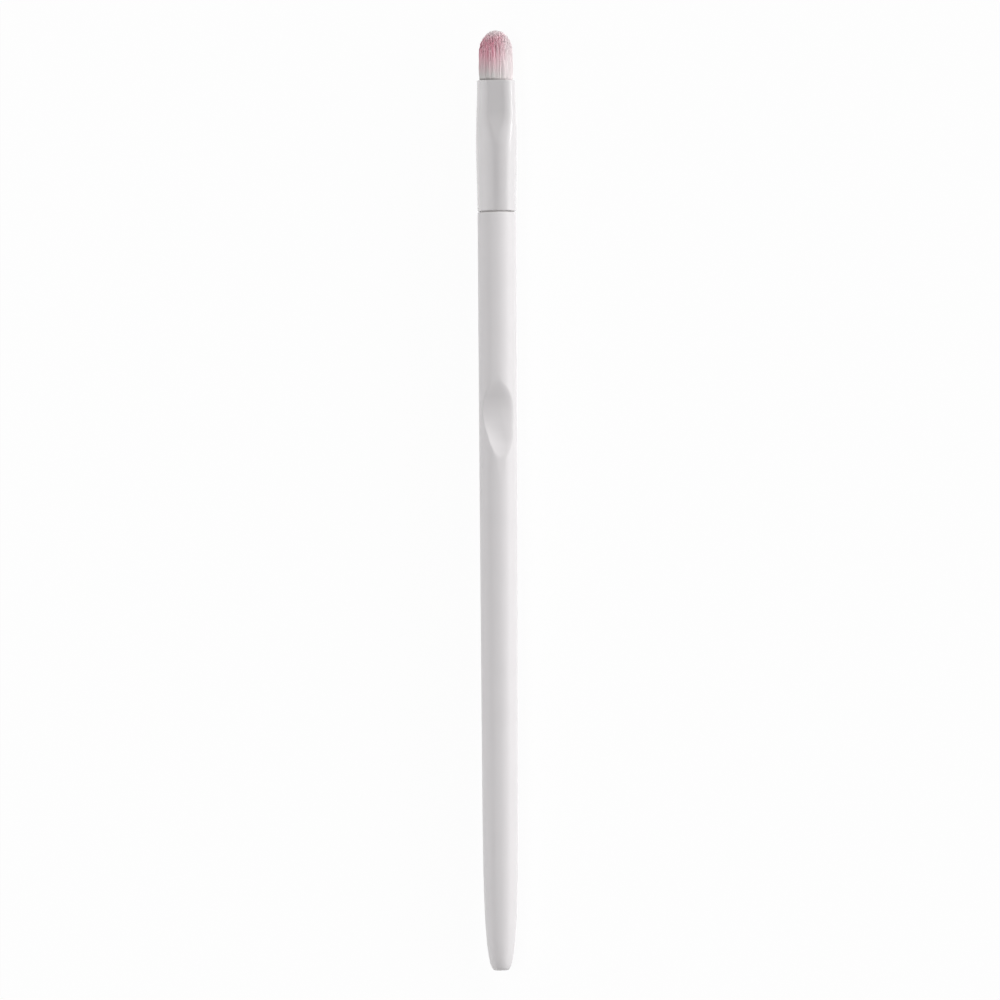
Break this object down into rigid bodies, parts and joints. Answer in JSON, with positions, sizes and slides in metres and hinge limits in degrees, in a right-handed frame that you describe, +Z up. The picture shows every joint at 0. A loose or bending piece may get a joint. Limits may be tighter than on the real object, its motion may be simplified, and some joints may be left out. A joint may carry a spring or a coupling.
{
  "type": "eyeliner brush",
  "caption": "Slim white brush with a round-ended pink filament tuft, a ferrule whose mouth is pressed to flats front and back, and a tapered handle with a twisted thumb scoop.",
  "frame": {"origin": "on the surface that the brush lies on, under the middle of its length", "axes": "+Y along the brush to the tuft's tip, +Z up, out of the mouth's front flat and the thumb scoop, +X to the right with the tuft pointing away"},
  "size_m": [0.0072, 0.165, 0.0072],
  "materials": {
    "handle": "smooth moulded white gloss",
    "ferrule": "white gloss lacquer over drawn aluminium",
    "bristles": "satin synthetic filament, white at the ferrule and dip-dyed pink to the tip",
    "root_plug": "cured clear amber resin",
    "tenon_glue": "set off-white glue"
  },
  "bodies": {
    "root": {"handle": "handle", "ferrule": "ferrule", "bristles": "bristles", "root_plug": "root_plug", "tenon_glue": "tenon_glue"}
  },
  "joints": []
}
